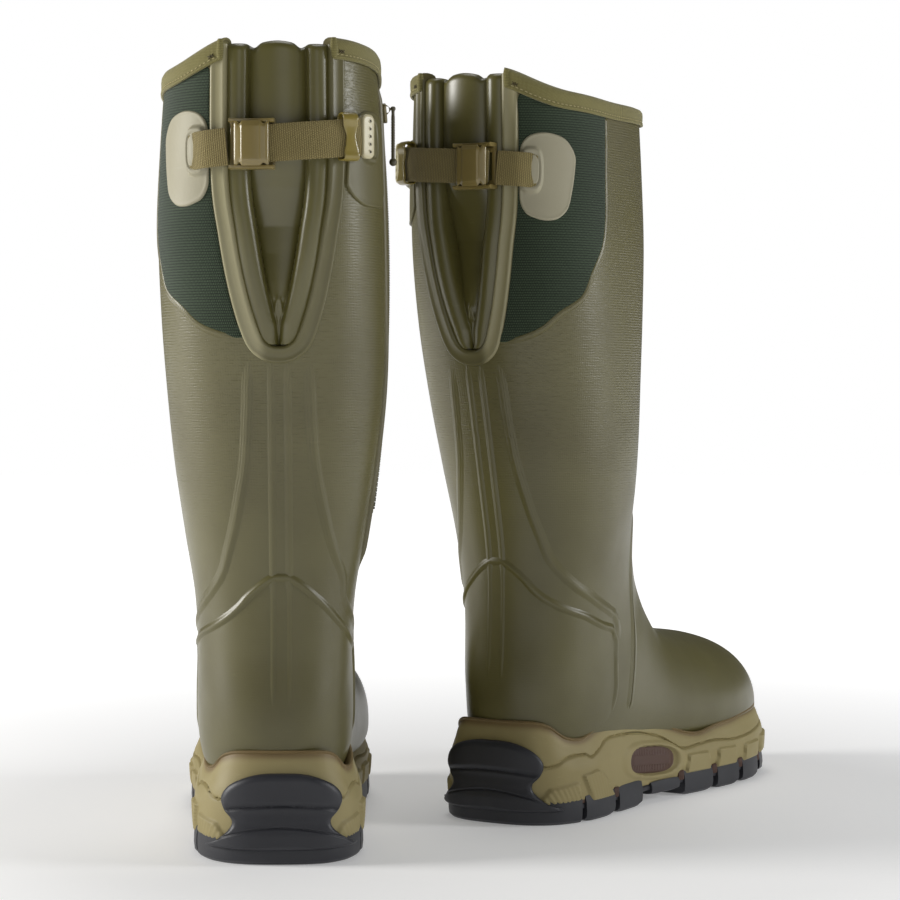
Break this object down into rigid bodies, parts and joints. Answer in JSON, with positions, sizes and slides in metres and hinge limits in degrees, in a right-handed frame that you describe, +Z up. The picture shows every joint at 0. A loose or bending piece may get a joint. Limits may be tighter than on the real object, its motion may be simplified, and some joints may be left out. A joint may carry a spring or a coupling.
{
  "type": "insulated rubber boots",
  "caption": "Pair of tall insulated rubber boots with a back gusset, adjusting strap with cam buckle, side zip, stretch panel and lugged sole.",
  "frame": {"origin": "middle of the pair's footprint box, on the floor", "axes": "+Z up, +Y the way the left boot's toe points, +X from the left boot to the right boot"},
  "size_m": [0.378, 0.4582, 0.4513],
  "materials": {
    "olive_rubber": "satin, fine grain and faint cloth print",
    "gusset_rubber": "smooth satin",
    "patch_rubber": "matt, fine grain",
    "black_rubber": "matt",
    "midsole_rubber": "matt, fine grain",
    "core_foam": "matt, ribbed",
    "liner_neoprene": "knit faced neoprene",
    "stretch_textile": "ribbed weave",
    "binding_tape": "woven tape",
    "webbing": "ribbed webbing",
    "buckle_plastic": "semi-gloss moulded",
    "keeper_plastic": "semi-gloss moulded",
    "tab_plastic": "satin moulded",
    "zip_textile": "woven tape with moulded teeth",
    "slider_metal": "painted satin",
    "puller_cord": "braided cord",
    "shank_steel": "rolled",
    "board_fibre": "pressed fibre",
    "footbed_foam": "felt over foam"
  },
  "bodies": {
    "left_boot": {"left_foot_shell": "olive_rubber", "left_shaft_shell": "olive_rubber", "left_liner": "liner_neoprene", "left_side_panel": "stretch_textile", "left_gusset_binding": "olive_rubber", "left_heel_counter": "olive_rubber", "left_rim_binding": "binding_tape", "left_gusset": "gusset_rubber", "left_heel_guard": "black_rubber", "left_outsole": "black_rubber", "left_sole_core": "core_foam", "left_shank": "shank_steel", "left_arch_badge": "core_foam", "left_midsole": "midsole_rubber", "left_insole_board": "board_fibre", "left_footbed": "footbed_foam", "left_strap": "webbing", "left_strap_anchor": "webbing", "left_buckle_frame": "buckle_plastic", "left_strap_keeper": "keeper_plastic", "left_strap_tab": "tab_plastic", "left_outer_patch": "patch_rubber", "left_inner_patch": "olive_rubber", "left_zip_tape": "zip_textile", "left_zip_placket": "olive_rubber"},
    "left_zip_slider": {"left_zip_slider": "slider_metal"},
    "left_zip_puller": {"left_zip_puller": "puller_cord"},
    "left_buckle_lever": {"left_buckle_lever": "buckle_plastic"},
    "right_boot": {"right_foot_shell": "olive_rubber", "right_shaft_shell": "olive_rubber", "right_liner": "liner_neoprene", "right_side_panel": "stretch_textile", "right_gusset_binding": "olive_rubber", "right_heel_counter": "olive_rubber", "right_rim_binding": "binding_tape", "right_gusset": "gusset_rubber", "right_heel_guard": "black_rubber", "right_outsole": "black_rubber", "right_sole_core": "core_foam", "right_shank": "shank_steel", "right_arch_badge": "core_foam", "right_midsole": "midsole_rubber", "right_insole_board": "board_fibre", "right_footbed": "footbed_foam", "right_strap": "webbing", "right_strap_anchor": "webbing", "right_buckle_frame": "buckle_plastic", "right_strap_keeper": "keeper_plastic", "right_strap_tab": "tab_plastic", "right_outer_patch": "patch_rubber", "right_inner_patch": "olive_rubber", "right_zip_tape": "zip_textile", "right_zip_placket": "olive_rubber"},
    "right_zip_slider": {"right_zip_slider": "slider_metal"},
    "right_zip_puller": {"right_zip_puller": "puller_cord"},
    "right_buckle_lever": {"right_buckle_lever": "buckle_plastic"}
  },
  "joints": [
    {"name": "right_boot_lift", "type": "slide", "parent": "left_boot", "child": "right_boot", "axis": [0, 0, 1], "range_m": [0, 0.15]},
    {"name": "left_zip_travel", "type": "hinge", "parent": "left_boot", "child": "left_zip_slider", "pos_m": [-1.05977, -0.14968, 0.325], "axis": [-0.0279, 0.9985, 0.0479], "range_deg": [0, 11.8]},
    {"name": "left_puller_swing", "type": "hinge", "parent": "left_zip_slider", "child": "left_zip_puller", "pos_m": [-0.05814, -0.12632, 0.42112], "axis": [0.0279, -0.9985, -0.0479], "range_deg": [0, 120]},
    {"name": "left_lever_open", "type": "hinge", "parent": "left_boot", "child": "left_buckle_lever", "pos_m": [-0.12214, -0.22579, 0.39211], "axis": [0, 0, 1], "range_deg": [0, 75]},
    {"name": "right_zip_travel", "type": "hinge", "parent": "right_boot", "child": "right_zip_slider", "pos_m": [0.83486, -0.48277, 0.325], "axis": [-0.5144, -0.8562, -0.0479], "range_deg": [0, 11.8]},
    {"name": "right_puller_swing", "type": "hinge", "parent": "right_zip_slider", "child": "right_zip_puller", "pos_m": [-0.0263, 0.02928, 0.42112], "axis": [0.5144, 0.8562, 0.0479], "range_deg": [0, 120]},
    {"name": "right_lever_open", "type": "hinge", "parent": "right_boot", "child": "right_buckle_lever", "pos_m": [-0.01938, -0.08879, 0.39211], "axis": [0, 0, -1], "range_deg": [0, 75]}
  ]
}
